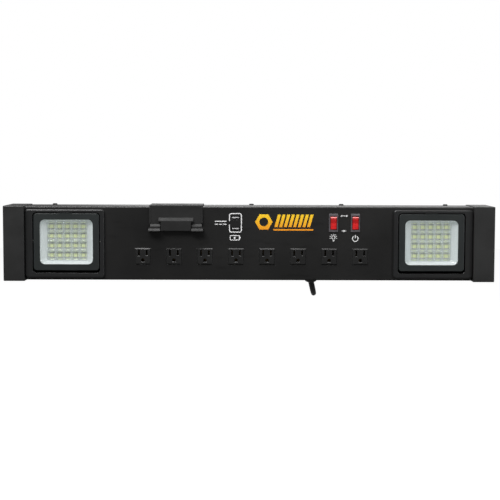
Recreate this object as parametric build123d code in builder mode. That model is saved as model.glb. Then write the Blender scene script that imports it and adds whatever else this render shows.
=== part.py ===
from build123d import *

import os
from math import cos, pi, radians, sin, tan

# Workshop power strip with two tilting work lamps, eight outlets, two USB ports,
# two rocker switches and a sliding phone holder. All sizes are in millimetres.
# X runs along the strip to the right, Y from front to back and Z up. The origin is
# on the rear mounting plane, at mid length and mid height, so the front is at -Y.

os.makedirs("parts", exist_ok=True)

# ---- Driving dimensions --------------------------------------------------------------
strip_length = 800.0      # over both end caps
body_height = 120.4       # of the sheet steel box
body_depth = 73.8         # of the sheet steel box
sheet = 1.5               # steel thickness
fold_inside = 0.4         # inner radius of the folded front edges
slip_gap = 0.1            # between pieces that are slid or dropped together
moving_gap = 0.4          # least gap between a moving piece and a fixed one
pin_gap = 0.05            # radial running clearance of pins in their holes

# End caps, moulded
cap_width = 34.0
cap_reach = 12.0          # how far a cap stands in front of the panel
cap_proud = 1.2           # and above, below and behind the box
cap_wall = 2.4
cap_overlap = 17.0        # length of box inside each cap
cap_edge = 1.6

# Lamps
lamp_offset = 298.2       # from mid length to a lamp's centre
window_width = 110.0      # clear window of the lamp bezel
window_height = 99.0
window_rise = 0.8         # of the window's centre above mid height
window_corner = 6.0
bezel_rise = 5.0          # in front of the panel
bezel_sleeve = 2.0        # wall of the sleeve through the panel
bezel_sleeve_depth = 10.0
bezel_top_margin = 5.2
bezel_bottom_margin = 7.8
bezel_inner_margin = 7.2
bezel_edge = 2.2
cheek_height = 28.0
head_side_gap = 1.5
head_top_gap = 1.5
head_bottom_gap = 4.0
head_recess = 0.6         # behind the bezel's face
head_corner = 5.0
head_rim_depth = 8.0
head_depth = 30.0
head_rear_height = 72.0
head_wall = 2.4
head_face = 2.2
pivot_depth = 14.0        # behind the head's face
pin_radius = 3.0
lens_border = 10.25       # of the head's face round the clear opening
lens_corner = 8.0
lens_thickness = 2.5
lens_lap = 4.5            # of the lens behind the face, all round
tray_lap = 3.0            # of the reflector tray behind the face, all round
cup_pitch_x = 13.0
cup_pitch_z = 15.8
cup_columns = 5
cup_rows = 4
cup_wall = 0.8            # between two cups at their mouths
cup_depth = 6.0
tray_depth = 6.0
cup_taper = 26.0          # degrees
led_size = 5.4
led_height = 1.0
board_thickness = 1.6
fin_count = 9
fin_height = 8.0
fin_thickness = 2.0
heat_base = 3.0
tab_width = 20.0

# Outlets
outlet_count = 8
outlet_pitch = 50.8
outlet_row_x = 4.2
outlet_z = -21.2
outlet_width = 26.0
outlet_height = 26.7
outlet_rise = 1.8         # of an outlet's face in front of the panel
outlet_depth = 22.0       # behind the panel's inner face
outlet_flange = 1.5       # lip behind the panel, all round
outlet_flange_thickness = 2.0
slot_spacing = 12.7
slot_rise = 5.6           # of the slots above the outlet's centre
ground_drop = 6.3         # of the ground hole below it
line_slot = (2.4, 8.0)
neutral_slot = (2.4, 9.6)
ground_hole = 5.0
outlet_face = 3.5         # thickness of the front wall
outlet_wall = 1.6         # of the side walls
outlet_chamfer = 1.5      # round the face
mouth_chamfer = 0.7       # of the slots and the ground hole
leaf_thickness = 0.6
leaf_recess = 7.0         # of the contact leaves behind the front wall
bus_thickness = 1.2
bus_height = 4.0

# USB ports
usb_x = -22.2
usb_z = (42.1, 24.1)
usb_shell = (13.2, 5.8)
usb_shell_wall = 0.4
usb_shell_depth = 14.0
usb_tongue = (11.2, 1.9)
usb_tongue_depth = 9.0

# Switches
light_switch_x = 138.0
power_switch_x = 173.8
switch_z = 34.0
switch_width = 15.0
switch_height = 30.0
switch_rise = 2.0
switch_body_inset = 1.0
switch_body_depth = 20.0
switch_bezel = 1.95       # side wall of a switch beside its rocker
rocker_height = 21.2
rocker_angle = 8.0        # each way from its middle position

# Phone holder
holder_x = -119.2
holder_width = 87.0
holder_plate = 2.2
holder_lip = 61.0         # length of the lip over the top of the box
holder_neck_width = 50.4
holder_rib = 2.4          # width of the ribs along the plate's sides
grip_width = 56.3
grip_body_width = 49.0
grip_reach = 6.0
foot_width = 16.5
foot_step = 2.4           # how much wider the lower ledge of a foot is, each side
foot_top_z = 32.0
foot_ledge_z = 24.8
foot_base_z = 20.0
foot_reach = 12.5
rod_radius = 2.0
rod_spacing = 52.0
rod_y = -30.0
rod_length = 100.0

# Fasteners
cover_screw_x = (-326.5, -155.0, 4.0, 155.0, 330.0)
cover_screw_y = -8.5
screw_radius = 2.0
screw_head_radius = 3.9
screw_head_height = 2.2
mount_radius = 2.5        # M5
insert_radius = 3.4
insert_length = 12.0
mount_height = 46.0       # of the mounting holes above and below mid height

# Cord
cord_diameter = 8.5
cord_x = 103.0
gland_y = -38.0
gland_radius = 10.6
gland_drop = 6.3
hank_x = -10.0
hank_z = 5.0
hank_run = 140.0          # between the middles of the folds
hank_fold_radius = 28.0
hank_waist = 4.7          # from the middle to a run's centre, at the tie
hank_near_y = 3.5         # centre of the turn nearest the box
hank_far_y = 30.5         # centre of the turn farthest from it
tie_width = 18.0
tie_thickness = 1.2
plug_x = -150.0           # where the plug's body starts, behind its neck
plug_centre = (11.4, -20.0)
plug_length = 38.0
plug_section = (24.0, 27.0)
plug_neck = 16.0

# ---- Places that follow from them ----------------------------------------------------
half_length = strip_length / 2
half_height = body_height / 2
rear_y = -cap_proud
front_y = rear_y - body_depth
inner_front_y = front_y + sheet
inner_rear_y = rear_y - sheet
box_end = half_length - cap_width + cap_overlap
cap_inner_x = half_length - cap_width
front_plane = Plane.XZ.offset(-front_y)
inner_front_plane = Plane.XZ.offset(-inner_front_y)
face_y = front_y - bezel_rise + head_recess
bezel_outer_x = cap_inner_x - 0.3
bezel_inner_x = lamp_offset - window_width / 2 - bezel_inner_margin
bezel_width = bezel_outer_x - bezel_inner_x
bezel_top_z = window_rise + window_height / 2 + bezel_top_margin
bezel_bottom_z = window_rise - window_height / 2 - bezel_bottom_margin
head_width = window_width - 2 * head_side_gap
head_height = window_height - head_top_gap - head_bottom_gap
head_z = window_rise + (head_bottom_gap - head_top_gap) / 2
lens_width = head_width - 2 * lens_border
lens_height = head_height - 2 * lens_border
pivot_y = face_y + pivot_depth
hank_thickness = hank_far_y - hank_near_y + cord_diameter
tie_half_height = hank_waist + cord_diameter / 2 + 0.7
mount_x = (half_length - cap_wall + box_end) / 2 + 0.6
outlet_x = [outlet_row_x + outlet_pitch * (n - (outlet_count - 1) / 2) for n in range(outlet_count)]
cap_screw_places = [(y, z) for y in (-62.0, -24.0) for z in (-44.0, 44.0)]
bezel_screw_places = [
    (side * x, z)
    for side in (-1, 1)
    for x in (bezel_inner_x + 2.6, bezel_outer_x - 5.2)
    for z in (-35.0, 35.0)
]
bezel_screw_radius = 1.25


def write(part, name):
    part.label = name
    export_step(part, f"parts/{name}.step")


# ---- Front cover: one folded steel channel, open at the back --------------------------
with BuildPart() as front_cover:
    with BuildSketch(Plane.YZ) as channel:
        with Locations(((front_y + rear_y) / 2, 0)):
            Rectangle(body_depth, body_height)
        with Locations(((front_y + rear_y) / 2 + sheet, 0)):
            Rectangle(body_depth, body_height - 2 * sheet, mode=Mode.SUBTRACT)
        fillet(channel.vertices().group_by(Axis.X)[1], fold_inside)
        fillet(channel.vertices().group_by(Axis.X)[0], fold_inside + sheet)
    extrude(amount=box_end, both=True)
    with BuildSketch(front_plane):
        with Locations((-lamp_offset, window_rise), (lamp_offset, window_rise)):
            RectangleRounded(
                window_width + 2 * bezel_sleeve + 2 * slip_gap,
                window_height + 2 * bezel_sleeve + 2 * slip_gap,
                window_corner + bezel_sleeve,
            )
        with Locations([(x, outlet_z) for x in outlet_x]):
            Rectangle(outlet_width + 2 * slip_gap, outlet_height + 2 * slip_gap)
        with Locations((light_switch_x, switch_z), (power_switch_x, switch_z)):
            Rectangle(
                switch_width - 2 * switch_body_inset + 2 * slip_gap,
                switch_height - 2 * switch_body_inset + 2 * slip_gap,
            )
        with Locations([(usb_x, z) for z in usb_z]):
            Rectangle(usb_shell[0] + 2 * slip_gap, usb_shell[1] + 2 * slip_gap)
        with Locations(bezel_screw_places):
            Circle(bezel_screw_radius + slip_gap)
    extrude(amount=-2 * sheet, mode=Mode.SUBTRACT)
    with BuildSketch(Plane.XY.offset(half_height)):
        with Locations([(x, cover_screw_y) for x in cover_screw_x]):
            Circle(screw_radius + slip_gap)
        with Locations((holder_x, rod_y)):
            with GridLocations(rod_spacing, 1, 2, 1):
                Circle(rod_radius + moving_gap)
    extrude(amount=-2 * sheet, mode=Mode.SUBTRACT)
    with BuildSketch(Plane.XY.offset(-half_height)):
        with Locations([(x, cover_screw_y) for x in cover_screw_x]):
            Circle(screw_radius + slip_gap)
        with Locations((cord_x, gland_y)):
            Circle(gland_radius - 2.0 + slip_gap)
    extrude(amount=2 * sheet, mode=Mode.SUBTRACT)
write(front_cover.part, "front_cover")

# ---- Back cover: a plate with a flange above and below, and slots for the cord's tie --
flange_depth = 13.0
with BuildPart() as back_cover:
    with BuildSketch(Plane.XZ.offset(-rear_y)):
        Rectangle(2 * (box_end - slip_gap), body_height - 2 * sheet - 2 * slip_gap)
        with Locations((hank_x, hank_z)):
            with GridLocations(1, 2 * tie_half_height + tie_thickness, 1, 2):
                SlotOverall(tie_width + 4.0, tie_thickness + 1.6, mode=Mode.SUBTRACT)
    extrude(amount=sheet)
    for side in (-1, 1):
        with BuildSketch(Plane.XZ.offset(-inner_rear_y)):
            with Locations((0, side * (half_height - sheet - slip_gap - sheet / 2))):
                Rectangle(2 * cap_inner_x, sheet)
        extrude(amount=flange_depth)
    with BuildSketch(Plane.XY):
        with Locations([(x, cover_screw_y) for x in cover_screw_x]):
            Circle(screw_radius + slip_gap)
    extrude(amount=body_height, both=True, mode=Mode.SUBTRACT)
write(back_cover.part, "back_cover")

# ---- End caps and the end plates that they are screwed to -----------------------------
cap_depth = cap_reach - front_y
cap_mid_y = -cap_depth / 2
cap_height = body_height + 2 * cap_proud
for side, name in ((-1, "left"), (1, "right")):
    with BuildPart() as end_cap:
        with BuildSketch(Plane.YZ.offset(side * half_length)):
            with Locations((cap_mid_y, 0)):
                Rectangle(cap_depth, cap_height)
        extrude(amount=-side * cap_width)
        outer_face = end_cap.faces().sort_by(Axis.X)[0 if side < 0 else -1]
        long_edges = end_cap.edges().filter_by(Axis.X)
        fillet([*outer_face.edges(), *long_edges], cap_edge)
        with BuildSketch(Plane.YZ.offset(side * (half_length - cap_wall))):
            with Locations((cap_mid_y, 0)):
                Rectangle(cap_depth - 2 * cap_wall, cap_height - 2 * cap_wall)
        extrude(amount=-side * (cap_width - 2 * cap_wall), mode=Mode.SUBTRACT)
        with BuildSketch(Plane.YZ.offset(side * (half_length - cap_wall))):
            with Locations(*cap_screw_places):
                Circle(screw_radius + 2.2)
        extrude(amount=-side * (half_length - cap_wall - box_end - slip_gap))
        with BuildSketch(Plane.XZ.offset(cap_wall)):
            with Locations((side * mount_x, -mount_height), (side * mount_x, mount_height)):
                Circle(insert_radius + 2.6)
        extrude(amount=insert_length)
        with BuildSketch(Plane.YZ.offset(side * (box_end + slip_gap))):
            with Locations(((front_y + rear_y) / 2, 0)):
                Rectangle(body_depth + slip_gap, body_height + slip_gap)
        extrude(amount=-side * (cap_overlap + cap_wall), mode=Mode.SUBTRACT)
        with BuildSketch(Plane.YZ.offset(side * half_length)):
            with Locations(*cap_screw_places):
                Circle(screw_radius + slip_gap)
        extrude(amount=-side * cap_width, mode=Mode.SUBTRACT)
        with BuildSketch(Plane.XZ):
            with Locations((side * mount_x, -mount_height), (side * mount_x, mount_height)):
                Circle(insert_radius)
        extrude(amount=insert_length, mode=Mode.SUBTRACT)
    write(end_cap.part, f"{name}_end_cap")

    with BuildPart() as end_plate:
        with BuildSketch(Plane.YZ.offset(side * box_end)):
            with Locations(((inner_front_y + inner_rear_y) / 2, 0)):
                Rectangle(
                    inner_rear_y - inner_front_y - 2 * slip_gap,
                    body_height - 2 * sheet - 2 * slip_gap,
                )
            fillet(vertices().group_by(Axis.X)[0], fold_inside + slip_gap)
        extrude(amount=-side * sheet)
        with BuildSketch(Plane.YZ.offset(side * box_end)):
            with Locations(*cap_screw_places):
                Circle(screw_radius + 1.6)
        extrude(amount=-side * 3 * sheet)
        with BuildSketch(Plane.YZ.offset(side * box_end)):
            with Locations(*cap_screw_places):
                Circle(screw_radius + slip_gap)
        extrude(amount=-side * 4 * sheet, mode=Mode.SUBTRACT)
    write(end_plate.part, f"{name}_end_plate")

# ---- Fasteners ------------------------------------------------------------------------
with BuildPart() as cover_screws:
    for side in (-1, 1):
        with BuildSketch(Plane.XY.offset(side * half_height)):
            with Locations([(x, cover_screw_y) for x in cover_screw_x]):
                Circle(screw_head_radius)
        extrude(amount=side * screw_head_height)
        rims = cover_screws.edges().group_by(Axis.Z)[0 if side < 0 else -1]
        fillet(rims, 1.3)
        with BuildSketch(Plane.XY.offset(side * half_height)):
            with Locations([(x, cover_screw_y) for x in cover_screw_x]):
                Circle(screw_radius)
        extrude(amount=-side * 8.0)
        with BuildSketch(Plane.XY.offset(side * (half_height + screw_head_height))):
            with Locations([(x, cover_screw_y) for x in cover_screw_x]):
                Rectangle(3.6, 0.8)
                Rectangle(0.8, 3.6)
        extrude(amount=-side * 1.4, mode=Mode.SUBTRACT)
write(cover_screws.part, "cover_screws")

with BuildPart() as end_cap_screws:
    for side in (-1, 1):
        with BuildSketch(Plane.YZ.offset(side * half_length)):
            with Locations(*cap_screw_places):
                Circle(screw_head_radius)
        extrude(amount=side * screw_head_height)
        rims = end_cap_screws.edges().group_by(Axis.X)[0 if side < 0 else -1]
        fillet(rims, 1.3)
        with BuildSketch(Plane.YZ.offset(side * half_length)):
            with Locations(*cap_screw_places):
                Circle(screw_radius)
        extrude(amount=-side * (half_length - box_end + 5.0))
        with BuildSketch(Plane.YZ.offset(side * (half_length + screw_head_height))):
            with Locations(*cap_screw_places):
                Rectangle(3.6, 0.8)
                Rectangle(0.8, 3.6)
        extrude(amount=-side * 1.4, mode=Mode.SUBTRACT)
write(end_cap_screws.part, "end_cap_screws")

with BuildPart() as bezel_screws:
    with BuildSketch(inner_front_plane):
        with Locations(*bezel_screw_places):
            Circle(2 * bezel_screw_radius)
    extrude(amount=-1.4)
    with BuildSketch(inner_front_plane):
        with Locations(*bezel_screw_places):
            Circle(bezel_screw_radius)
    extrude(amount=sheet + bezel_rise - 1.6)
write(bezel_screws.part, "bezel_screws")

with BuildPart() as mount_inserts:
    with BuildSketch(Plane.XZ):
        with GridLocations(2 * mount_x, 2 * mount_height, 2, 2):
            Circle(insert_radius)
            Circle(mount_radius, mode=Mode.SUBTRACT)
    extrude(amount=insert_length)
write(mount_inserts.part, "mount_inserts")

# ---- Lamps: a fixed bezel, and a head that tilts on two side pins ---------------------
cup_z = head_z + 1.0
face_plane = Plane.XZ.offset(-face_y)
lens_y = face_y + head_face
tray_y = lens_y + lens_thickness + slip_gap
floor_y = tray_y + tray_depth
board_y = floor_y + cup_depth + slip_gap
tray_width = lens_width + 2 * tray_lap
tray_height = lens_height + 2 * tray_lap
field_width = cup_columns * cup_pitch_x
field_height = cup_rows * cup_pitch_z
for side, name in ((-1, "left"), (1, "right")):
    lamp_x = side * lamp_offset
    with BuildPart() as bezel:
        with BuildSketch(front_plane):
            with Locations((side * (bezel_outer_x + bezel_inner_x) / 2, (bezel_top_z + bezel_bottom_z) / 2)):
                RectangleRounded(bezel_width, bezel_top_z - bezel_bottom_z, head_corner)
        extrude(amount=bezel_rise)
        fillet(bezel.faces().sort_by(Axis.Y)[0].edges(), bezel_edge)
        with BuildSketch(front_plane):
            with Locations((lamp_x, window_rise)):
                RectangleRounded(
                    window_width + 2 * bezel_sleeve, window_height + 2 * bezel_sleeve, window_corner + bezel_sleeve
                )
        extrude(amount=-(sheet + bezel_sleeve_depth))
        with BuildSketch(Plane.YZ.offset(lamp_x)):
            with Locations(((front_y + pivot_y + pin_radius + 3.0) / 2, head_z)):
                Rectangle(pivot_y + pin_radius + 3.0 - front_y, cheek_height)
        extrude(amount=window_width / 2 + bezel_sleeve, both=True)
        with BuildSketch(front_plane.offset(bezel_rise)):
            with Locations((lamp_x, window_rise)):
                RectangleRounded(window_width, window_height, window_corner)
        extrude(amount=-body_depth, mode=Mode.SUBTRACT)
        with BuildSketch(Plane.YZ.offset(lamp_x)):
            with Locations((pivot_y, head_z)):
                Circle(pin_radius + pin_gap)
        extrude(amount=window_width, both=True, mode=Mode.SUBTRACT)
        with BuildSketch(front_plane):
            with Locations(*[place for place in bezel_screw_places if place[0] * side > 0]):
                Circle(bezel_screw_radius)
        extrude(amount=bezel_rise - 1.6, mode=Mode.SUBTRACT)
    write(bezel.part, f"{name}_lamp_bezel")

    with BuildPart() as housing:
        with BuildSketch(face_plane):
            with Locations((lamp_x, head_z)):
                RectangleRounded(head_width, head_height, head_corner)
        extrude(amount=-head_rim_depth)
        fillet(housing.faces().sort_by(Axis.Y)[0].edges(), 1.0)
        with BuildSketch(face_plane.offset(-head_rim_depth)):
            with Locations((lamp_x, head_z)):
                RectangleRounded(head_width, head_height, head_corner)
        with BuildSketch(face_plane.offset(-head_depth)):
            with Locations((lamp_x, head_z)):
                RectangleRounded(head_width - 4.0, head_rear_height, head_corner)
        loft()
        with BuildSketch(face_plane):
            with Locations((lamp_x, head_z + head_height / 2 + (head_top_gap - moving_gap) / 2 - 2.0)):
                RectangleRounded(tab_width, head_top_gap - moving_gap + 4.0, 1.0)
        extrude(amount=-5.0)
        with BuildSketch(face_plane.offset(-head_face)):
            with Locations((lamp_x, head_z)):
                RectangleRounded(head_width - 2 * head_wall, head_height - 2 * head_wall, head_corner - 1.5)
        extrude(amount=-(head_rim_depth - head_face), mode=Mode.SUBTRACT)
        with BuildSketch(face_plane.offset(-head_rim_depth)):
            with Locations((lamp_x, head_z)):
                RectangleRounded(head_width - 2 * head_wall, head_height - 2 * head_wall, head_corner - 1.5)
        with BuildSketch(face_plane.offset(-head_depth)):
            with Locations((lamp_x, head_z)):
                RectangleRounded(
                    head_width - 4.0 - 2 * head_wall, head_rear_height - 2 * head_wall, head_corner - 1.5
                )
        loft(mode=Mode.SUBTRACT)
        with BuildSketch(face_plane):
            with Locations((lamp_x, head_z)):
                RectangleRounded(lens_width, lens_height, lens_corner)
        extrude(amount=-head_face, mode=Mode.SUBTRACT)
        with BuildSketch(Plane.YZ.offset(lamp_x)):
            with Locations((pivot_y, head_z)):
                Circle(pin_radius + pin_gap)
        extrude(amount=head_width, both=True, mode=Mode.SUBTRACT)
    write(housing.part, f"{name}_lamp_housing")

    with BuildPart() as lens:
        with BuildSketch(Plane.XZ.offset(-lens_y - slip_gap / 2)):
            with Locations((lamp_x, head_z)):
                RectangleRounded(lens_width + 2 * lens_lap, lens_height + 2 * lens_lap, lens_corner)
        extrude(amount=-lens_thickness)
    write(lens.part, f"{name}_lamp_lens")

    with BuildPart() as reflector:
        with BuildSketch(Plane.XZ.offset(-tray_y)):
            with Locations((lamp_x, head_z)):
                RectangleRounded(tray_width, tray_height, lens_corner)
        extrude(amount=-(tray_depth + cup_depth))
        with BuildSketch(Plane.XZ.offset(-tray_y)):
            with Locations((lamp_x, head_z)):
                RectangleRounded(lens_width - 0.5, lens_height - 0.5, lens_corner)
        with BuildSketch(Plane.XZ.offset(-floor_y)):
            with Locations((lamp_x, cup_z)):
                RectangleRounded(field_width + 0.8, field_height + 0.8, 2.5)
        loft(mode=Mode.SUBTRACT)
        with BuildSketch(Plane.XZ.offset(-floor_y)):
            with Locations((lamp_x, cup_z)):
                with GridLocations(cup_pitch_x, cup_pitch_z, cup_columns, cup_rows):
                    Rectangle(cup_pitch_x - cup_wall, cup_pitch_z - cup_wall)
        extrude(amount=-cup_depth, taper=cup_taper, mode=Mode.SUBTRACT)
    write(reflector.part, f"{name}_lamp_reflector")

    with BuildPart() as board:
        with BuildSketch(Plane.XZ.offset(-board_y)):
            with Locations((lamp_x, cup_z)):
                Rectangle(field_width + 10.0, field_height + 6.0)
        extrude(amount=-board_thickness)
    write(board.part, f"{name}_led_board")

    with BuildPart() as leds:
        with BuildSketch(Plane.XZ.offset(-board_y)):
            with Locations((lamp_x, cup_z)):
                with GridLocations(cup_pitch_x, cup_pitch_z, cup_columns, cup_rows):
                    Rectangle(led_size, led_size)
        extrude(amount=led_height)
    write(leds.part, f"{name}_leds")

    with BuildPart() as lamp_back:
        with BuildSketch(face_plane.offset(-head_depth)):
            with Locations((lamp_x, head_z)):
                RectangleRounded(head_width - 4.0, head_rear_height, head_corner)
        extrude(amount=-heat_base)
        with BuildSketch(face_plane.offset(-head_depth - heat_base)):
            with Locations((lamp_x, head_z)):
                with GridLocations((head_width - 16.0) / (fin_count - 1), 1, fin_count, 1):
                    Rectangle(fin_thickness, head_rear_height - 8.0)
        extrude(amount=-fin_height)
        with BuildSketch(face_plane.offset(-head_depth)):
            with Locations((lamp_x, head_z)):
                Rectangle(field_width - 8.0, head_rear_height - 14.0)
        extrude(amount=face_y + head_depth - board_y - board_thickness - slip_gap)
    write(lamp_back.part, f"{name}_lamp_back")

    with BuildPart() as pins:
        for end in (-1, 1):
            with BuildSketch(Plane.YZ.offset(lamp_x + end * (window_width / 2 + bezel_sleeve))):
                with Locations((pivot_y, head_z)):
                    Circle(pin_radius)
            extrude(amount=-end * (head_side_gap + bezel_sleeve + head_wall + 1.4))
            with BuildSketch(Plane.YZ.offset(lamp_x + end * (head_width / 2 - head_wall - 1.4))):
                with Locations((pivot_y, head_z)):
                    Circle(pin_radius + 1.6)
            extrude(amount=-end * 1.8)
    write(pins.part, f"{name}_lamp_pins")

# ---- Outlets: a moulded body each, open at the back for the contact leaves ------------
outlet_face_y = front_y - outlet_rise
outlet_back_y = inner_front_y + outlet_flange_thickness + outlet_depth
slot_z = outlet_z + slot_rise
ground_z = outlet_z - ground_drop
for number, x in enumerate(outlet_x, start=1):
    with BuildPart() as outlet:
        with BuildSketch(Plane.XZ.offset(-outlet_face_y)):
            with Locations((x, outlet_z)):
                Rectangle(outlet_width, outlet_height)
        extrude(amount=-(outlet_back_y - outlet_face_y))
        chamfer(outlet.faces().sort_by(Axis.Y)[0].edges(), outlet_chamfer)
        with BuildSketch(inner_front_plane):
            with Locations((x, outlet_z)):
                Rectangle(outlet_width + 2 * outlet_flange, outlet_height + 2 * outlet_flange)
        extrude(amount=-outlet_flange_thickness)
        with BuildSketch(Plane.XZ.offset(-outlet_face_y)):
            with Locations((x - slot_spacing / 2, slot_z)):
                Rectangle(*neutral_slot)
            with Locations((x + slot_spacing / 2, slot_z)):
                Rectangle(*line_slot)
            with Locations((x, ground_z)):
                Circle(ground_hole / 2)
                with Locations((0, -ground_hole / 4)):
                    Rectangle(ground_hole, ground_hole / 2)
        extrude(amount=-(outlet_back_y - outlet_face_y), mode=Mode.SUBTRACT)
        mouths = outlet.faces().sort_by(Axis.Y)[0].inner_wires()
        chamfer([edge for mouth in mouths for edge in mouth.edges()], mouth_chamfer)
        with BuildSketch(Plane.XZ.offset(-outlet_face_y - outlet_face)):
            with Locations((x, outlet_z)):
                Rectangle(outlet_width - 2 * outlet_wall, outlet_height - 2 * outlet_wall)
        extrude(amount=-(outlet_back_y - outlet_face_y), mode=Mode.SUBTRACT)
    write(outlet.part, f"outlet_{number}")

# ---- Bus bars: a strip behind the outlets with a pair of spring leaves at each one ----
bus_y = outlet_back_y + slip_gap
leaf_y = outlet_face_y + outlet_face + leaf_recess
bus_bars = (
    ("neutral_bus", -slot_spacing / 2, slot_z, slot_z + 4.2, 1.0),
    ("line_bus", slot_spacing / 2, slot_z, slot_z - 4.2, 1.0),
    ("ground_bus", 0.0, ground_z, ground_z - 1.5, 3.0),
)
for name, shift, leaf_z, strip_z, spread in bus_bars:
    with BuildPart() as bus:
        with BuildSketch(Plane.XZ.offset(-bus_y)):
            with Locations((outlet_row_x, strip_z)):
                Rectangle((outlet_count - 1) * outlet_pitch + 24.0, bus_height)
        extrude(amount=-bus_thickness)
        with BuildSketch(Plane.XZ.offset(-bus_y)):
            with Locations([(x + shift, (leaf_z + strip_z) / 2) for x in outlet_x]):
                Rectangle(2 * spread + 2 * leaf_thickness, abs(leaf_z - strip_z) + bus_height)
        extrude(amount=-bus_thickness)
        with BuildSketch(Plane.XZ.offset(-bus_y)):
            with Locations([(x + shift + end * spread, leaf_z) for x in outlet_x for end in (-1, 1)]):
                Rectangle(leaf_thickness, bus_height + 1.0)
        extrude(amount=bus_y - leaf_y)
    write(bus.part, name)

# ---- USB ports ------------------------------------------------------------------------
with BuildPart() as usb_shells:
    with BuildSketch(front_plane):
        with Locations([(usb_x, z) for z in usb_z]):
            RectangleRounded(*usb_shell, 0.6)
            Rectangle(
                usb_shell[0] - 2 * usb_shell_wall, usb_shell[1] - 2 * usb_shell_wall, mode=Mode.SUBTRACT
            )
    extrude(amount=-usb_shell_depth)
write(usb_shells.part, "usb_shells")

usb_rear_y = front_y + usb_shell_depth
with BuildPart() as usb_tongues:
    with BuildSketch(Plane.XZ.offset(-usb_rear_y)):
        with Locations([(usb_x, z + 0.5) for z in usb_z]):
            Rectangle(*usb_tongue)
    extrude(amount=usb_shell_depth - 1.0)
write(usb_tongues.part, "usb_tongues")

usb_module_size = (30.0, 36.0)
usb_mid_z = sum(usb_z) / len(usb_z)
with BuildPart() as usb_module:
    with BuildSketch(inner_front_plane):
        with Locations((usb_x, usb_mid_z)):
            Rectangle(*usb_module_size)
        with Locations([(usb_x, z) for z in usb_z]):
            Rectangle(usb_shell[0] + slip_gap, usb_shell[1] + slip_gap, mode=Mode.SUBTRACT)
    extrude(amount=-(usb_shell_depth - sheet))
    with BuildSketch(Plane.XZ.offset(-usb_rear_y)):
        with Locations((usb_x, usb_mid_z)):
            Rectangle(*usb_module_size)
    extrude(amount=-board_thickness)
write(usb_module.part, "usb_module")

# ---- Rocker switches: a housing each, a rocker on two stub axles, and the terminals ---
rocker_width = switch_width - 2 * switch_bezel - 2 * moving_gap
opening_width = switch_width - 2 * switch_bezel
opening_height = rocker_height + 2 * 0.8
rocker_y = front_y + 0.4
axle_radius = 1.3
for x, name in ((light_switch_x, "light_switch"), (power_switch_x, "power_switch")):
    with BuildPart() as switch:
        with BuildSketch(front_plane):
            with Locations((x, switch_z)):
                RectangleRounded(switch_width, switch_height, 0.8)
        extrude(amount=switch_rise)
        chamfer(switch.faces().sort_by(Axis.Y)[0].edges(), 0.6)
        with BuildSketch(front_plane):
            with Locations((x, switch_z)):
                Rectangle(switch_width - 2 * switch_body_inset, switch_height - 2 * switch_body_inset)
        extrude(amount=-switch_body_depth)
        with BuildSketch(front_plane.offset(switch_rise)):
            with Locations((x, switch_z)):
                Rectangle(opening_width, opening_height)
        extrude(amount=-(switch_rise + switch_body_depth - 4.0), mode=Mode.SUBTRACT)
        with BuildSketch(Plane.YZ.offset(x)):
            with Locations((rocker_y, switch_z)):
                Circle(axle_radius + pin_gap)
        extrude(amount=opening_width / 2 + 0.6, both=True, mode=Mode.SUBTRACT)
    write(switch.part, f"{name}_housing")

    tilt = radians(rocker_angle)
    rocker_plane = Plane(
        origin=(x, rocker_y, switch_z), x_dir=(0, cos(tilt), sin(tilt)), z_dir=(1, 0, 0)
    )
    with BuildPart() as rocker:
        with BuildSketch(rocker_plane):
            with BuildLine():
                Polyline(
                    (-4.6, rocker_height / 2 - 1.2),
                    (-3.2, 0),
                    (-4.6, 1.2 - rocker_height / 2),
                    (-3.4, -rocker_height / 2),
                    (2.2, 1.6 - rocker_height / 2),
                    (4.6, 0),
                    (2.2, rocker_height / 2 - 1.6),
                    (-3.4, rocker_height / 2),
                    close=True,
                )
            make_face()
        extrude(amount=rocker_width / 2, both=True)
        with BuildSketch(rocker_plane):
            Circle(axle_radius)
        extrude(amount=opening_width / 2 + 0.5, both=True)
    write(rocker.part, f"{name}_rocker")

with BuildPart() as switch_terminals:
    with BuildSketch(Plane.XZ.offset(-front_y - switch_body_depth)):
        with Locations([(x, switch_z + rise) for x in (light_switch_x, power_switch_x) for rise in (-8.0, 0, 8.0)]):
            Rectangle(4.8, 0.8)
    extrude(amount=-8.0)
write(switch_terminals.part, "switch_terminals")

# ---- Phone holder: two fixed feet, and a plate with a grip that slides up on two rods -
plate_back_y = front_y - moving_gap
plate_front_y = plate_back_y - holder_plate
plate_bottom_z = foot_base_z + 1.0
lip_bottom_z = half_height + moving_gap
lip_top_z = lip_bottom_z + holder_plate
for side, name in ((-1, "left"), (1, "right")):
    foot_inner_x = holder_x + side * (holder_neck_width / 2 + moving_gap)
    with BuildPart() as foot:
        with BuildSketch(Plane.YZ.offset(foot_inner_x)):
            with BuildLine():
                Polyline(
                    (front_y, foot_base_z),
                    (front_y, foot_top_z),
                    (front_y - 2.4, foot_top_z),
                    (front_y - 4.6, foot_top_z - 4.0),
                    (front_y - 4.6, foot_base_z + 2.0),
                    (front_y - foot_reach + 3.0, foot_base_z + 2.0),
                    (front_y - foot_reach + 3.0, foot_ledge_z),
                    (front_y - foot_reach + 2.0, foot_ledge_z),
                    (front_y - foot_reach, foot_ledge_z - 3.3),
                    (front_y - foot_reach, foot_base_z),
                    close=True,
                )
            make_face()
        extrude(amount=side * (foot_width + foot_step))
        with BuildSketch(Plane.YZ.offset(foot_inner_x + side * foot_width)):
            with Locations(((front_y * 2 - 4.6) / 2, (foot_top_z + foot_ledge_z + 1.0) / 2)):
                Rectangle(5.0, foot_top_z - foot_ledge_z - 1.0)
        extrude(amount=side * foot_step, mode=Mode.SUBTRACT)
    write(foot.part, f"holder_{name}_foot")

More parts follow.
